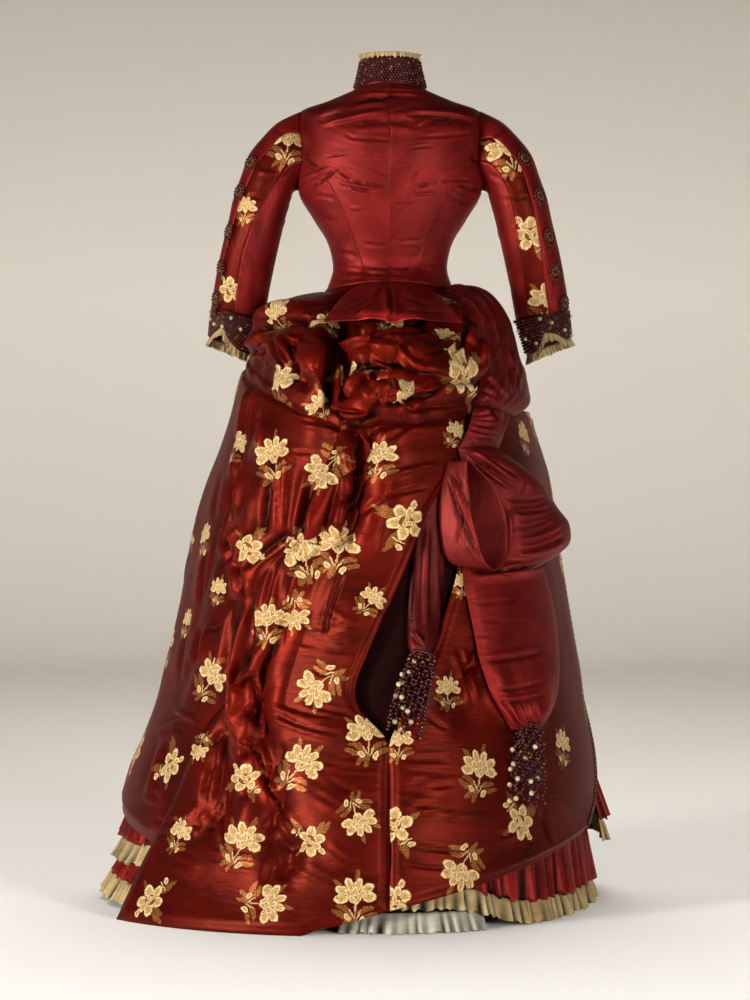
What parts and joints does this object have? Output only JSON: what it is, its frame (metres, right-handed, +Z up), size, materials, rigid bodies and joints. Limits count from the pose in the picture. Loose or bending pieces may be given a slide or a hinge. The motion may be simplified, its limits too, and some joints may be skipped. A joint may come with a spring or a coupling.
{
  "type": "victorian dress",
  "caption": "Bustle dress as worn: fitted long-sleeved bodice, draped floral brocade overskirt with puffed back, side bow with tasselled sash, flounced underskirt.",
  "frame": {"origin": "middle of the waist, on the wearer's axis, where the dress is held", "axes": "+Z up, +Y towards the wearer's front, +X towards the wearer's right"},
  "size_m": [0.8475, 0.8353, 1.4023],
  "materials": {
    "wine_satin": "satin",
    "brocade": "satin brocade",
    "cream_frill": "matte",
    "white_lace": "matte",
    "beaded": "glass beads on satin"
  },
  "bodies": {
    "root": {"bodice_back_left": "wine_satin", "bodice_back_right": "wine_satin", "bodice_side_left": "wine_satin", "bodice_side_right": "wine_satin", "bodice_front_left": "wine_satin", "bodice_front_right": "wine_satin", "button_stand": "wine_satin", "postilion": "wine_satin", "collar_band": "beaded", "collar_ruche": "cream_frill", "sleeve_upper_left": "brocade", "sleeve_upper_right": "brocade", "sleeve_under_left": "wine_satin", "sleeve_under_right": "wine_satin", "sleeve_strip_left": "wine_satin", "sleeve_strip_right": "wine_satin", "cuff_band_left": "beaded", "cuff_band_right": "beaded", "cuff_frill_left": "cream_frill", "cuff_frill_right": "cream_frill", "underskirt_front": "wine_satin", "underskirt_left": "wine_satin", "underskirt_right": "wine_satin", "underskirt_back": "wine_satin", "flounce_pleated": "wine_satin", "flounce_edging": "cream_frill", "hem_flounce": "wine_satin", "hem_frill": "cream_frill", "balayeuse": "white_lace", "drape_left": "brocade", "drape_back": "brocade", "drape_right": "brocade", "pouf_left": "brocade", "pouf_right": "brocade", "hip_swag": "wine_satin", "bow_knot": "wine_satin", "bow_loop_wide": "wine_satin", "bow_loop_narrow": "wine_satin", "sash_long": "wine_satin", "sash_short": "wine_satin", "tassel_long": "beaded", "tassel_short": "beaded"}
  },
  "joints": []
}
